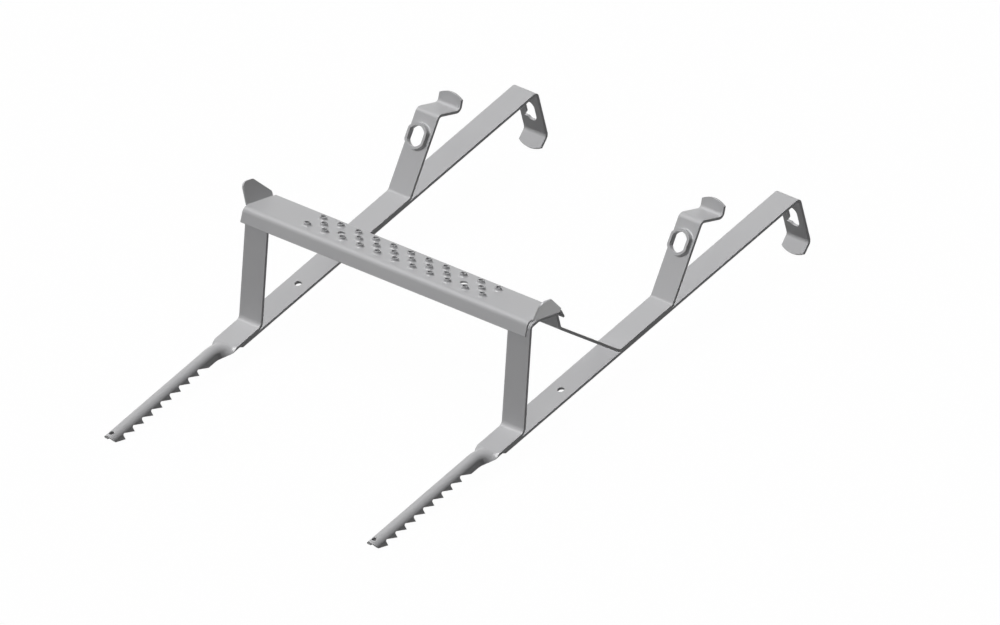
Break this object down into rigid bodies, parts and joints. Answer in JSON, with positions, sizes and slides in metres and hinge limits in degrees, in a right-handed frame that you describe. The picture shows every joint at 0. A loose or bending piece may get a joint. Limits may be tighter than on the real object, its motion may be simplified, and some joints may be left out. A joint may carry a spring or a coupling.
{
  "type": "roof step",
  "caption": "Roof step: a tilted, perforated foot tread with upturned ends on folded steel brackets that hook over a roof batten and run out in toothed channels.",
  "frame": {"origin": "midway between the brackets, in the corner where the batten hooks' down-slope faces meet the underside of the base straps", "axes": "+X along the tread, +Y up the roof slope towards the hooks, +Z square off the roof"},
  "size_m": [0.412, 0.6486, 0.2037],
  "materials": {
    "grey_coat": "matt light grey coat over folded steel"
  },
  "bodies": {
    "root": {"step_plate": "grey_coat", "left_base_strap": "grey_coat", "right_base_strap": "grey_coat", "left_support_strap": "grey_coat", "right_support_strap": "grey_coat"}
  },
  "joints": []
}
